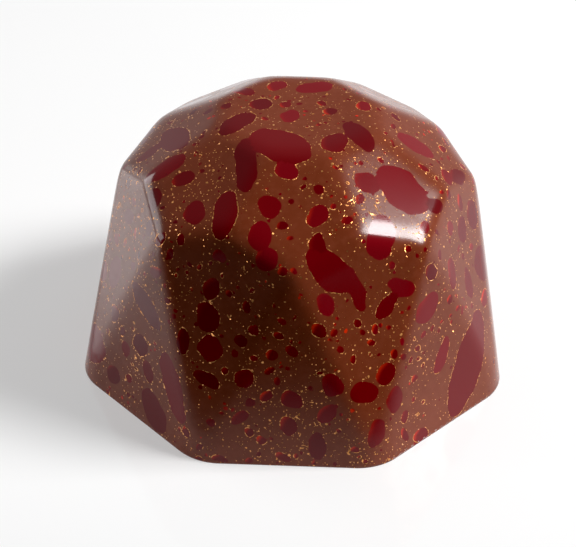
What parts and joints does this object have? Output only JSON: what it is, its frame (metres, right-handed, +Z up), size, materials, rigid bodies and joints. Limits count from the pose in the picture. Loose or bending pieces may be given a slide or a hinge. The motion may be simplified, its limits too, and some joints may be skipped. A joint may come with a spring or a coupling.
{
  "type": "chocolate bonbon",
  "caption": "Moulded chocolate bonbon, a faceted gem-shaped dome on a flat base, splashed with red cocoa butter and fine gold flecks.",
  "frame": {"origin": "middle of the flat base, on the surface that the bonbon rests on", "axes": "+Z up, from the base to the flat top; -Y square to one straight side of the base; +X to the right of that side, seen from in front"},
  "size_m": [0.029, 0.029, 0.018],
  "materials": {
    "chocolate": "polished milk chocolate with red cocoa-butter splashes and gold flecks"
  },
  "bodies": {
    "root": {"bonbon": "chocolate"}
  },
  "joints": []
}
